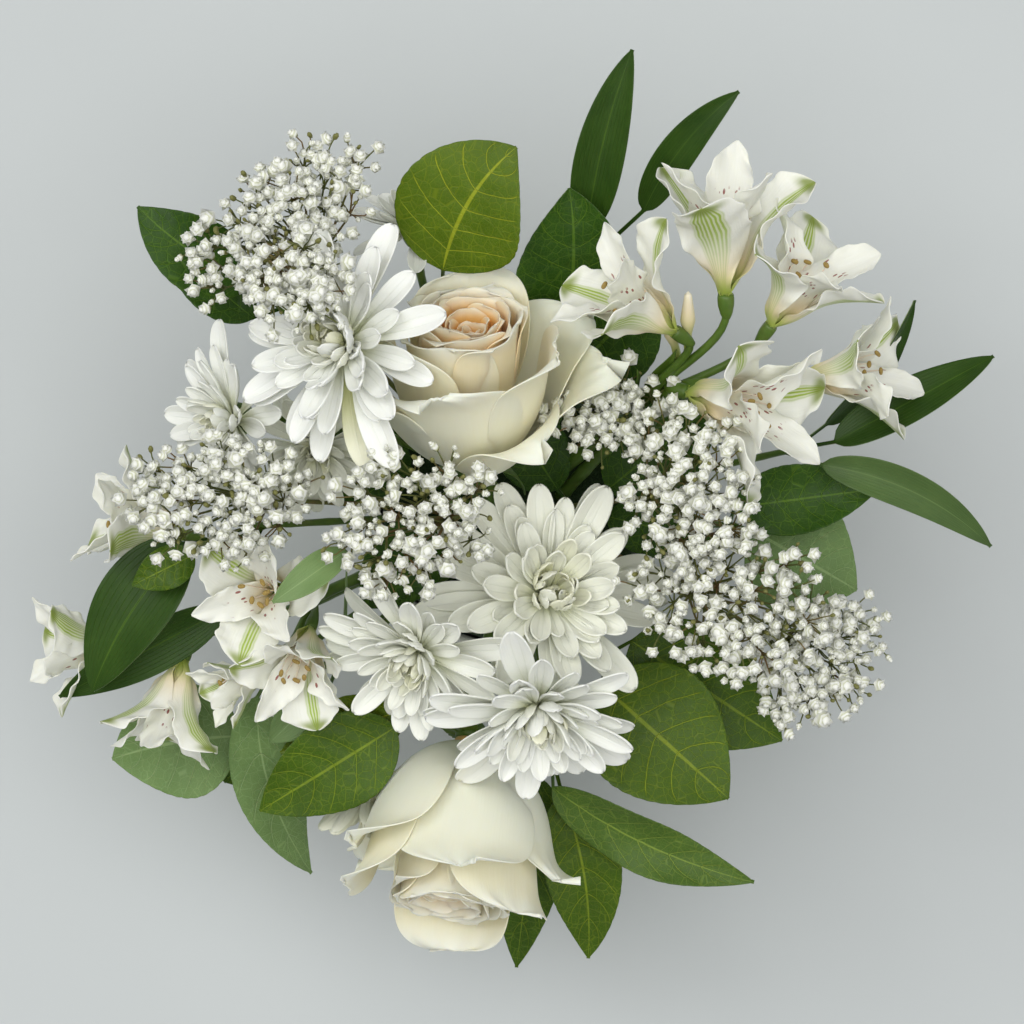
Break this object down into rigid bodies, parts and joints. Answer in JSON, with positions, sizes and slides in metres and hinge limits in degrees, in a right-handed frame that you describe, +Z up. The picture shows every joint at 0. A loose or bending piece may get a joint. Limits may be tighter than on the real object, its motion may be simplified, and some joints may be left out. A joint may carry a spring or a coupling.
{
  "type": "floral table centerpiece",
  "caption": "Low table centerpiece: cream roses, white spray chrysanthemums, alstroemeria and gypsophila with salal and lance foliage, standing in wet foam in a plain round bowl",
  "frame": {"origin": "centre of the flat underside of the bowl's foot, on the surface that it stands on", "axes": "+Z up out of the bowl; +X to the right and +Y to the top of the picture, which looks straight down on the arrangement"},
  "size_m": [0.4221, 0.398, 0.2784],
  "materials": {
    "glazed_bowl": "gloss",
    "wet_foam": "matte",
    "green_stem": "satin",
    "rose_petal": "satin",
    "mum_petal": "satin",
    "alstroemeria_petal": "satin",
    "gypsophila": "matte",
    "salal_leaf": "satin",
    "lance_leaf": "satin"
  },
  "bodies": {
    "root": {"bowl": "glazed_bowl", "rose_1_stem": "green_stem", "rose_1_bloom": "rose_petal", "rose_2_stem": "green_stem", "rose_2_bloom": "rose_petal", "mum_1_stem": "green_stem", "mum_2_stem": "green_stem", "mum_3_stem": "green_stem", "mum_4_stem": "green_stem", "mum_5_stem": "green_stem", "mum_6_stem": "green_stem", "mum_7_stem": "green_stem", "mum_8_stem": "green_stem", "alstroemeria_1_stem": "green_stem", "alstroemeria_2_stem": "green_stem", "alstroemeria_3_stem": "green_stem", "alstroemeria_4_stem": "green_stem", "salal_1": "salal_leaf", "salal_2": "salal_leaf", "salal_3": "salal_leaf", "salal_4": "salal_leaf", "salal_5": "salal_leaf", "salal_6": "salal_leaf", "salal_7": "salal_leaf", "salal_8": "salal_leaf", "salal_9": "salal_leaf", "salal_10": "salal_leaf", "salal_11": "salal_leaf", "lance_1": "lance_leaf", "lance_2": "lance_leaf", "lance_3": "lance_leaf", "lance_4": "lance_leaf", "gypsophila_1": "gypsophila", "gypsophila_2": "gypsophila", "gypsophila_3": "gypsophila", "gypsophila_4": "gypsophila", "gypsophila_5": "gypsophila", "gypsophila_6": "gypsophila", "gypsophila_7": "gypsophila", "gypsophila_8": "gypsophila", "mum_1_head": "mum_petal", "mum_2_head": "mum_petal", "mum_3_head": "mum_petal", "mum_4_head": "mum_petal", "mum_5_head": "mum_petal", "mum_6_head": "mum_petal", "mum_7_head": "mum_petal", "mum_8_head": "mum_petal", "alstroemeria_1_bloom_1": "alstroemeria_petal", "alstroemeria_1_bloom_2": "alstroemeria_petal", "alstroemeria_1_bloom_3": "alstroemeria_petal", "alstroemeria_2_bloom_1": "alstroemeria_petal", "alstroemeria_2_bloom_2": "alstroemeria_petal", "alstroemeria_3_bloom_1": "alstroemeria_petal", "alstroemeria_3_bloom_2": "alstroemeria_petal", "alstroemeria_3_bloom_3": "alstroemeria_petal", "alstroemeria_4_bloom_1": "alstroemeria_petal", "alstroemeria_4_bloom_2": "alstroemeria_petal", "alstroemeria_4_bloom_3": "alstroemeria_petal", "foam": "wet_foam"}
  },
  "joints": []
}
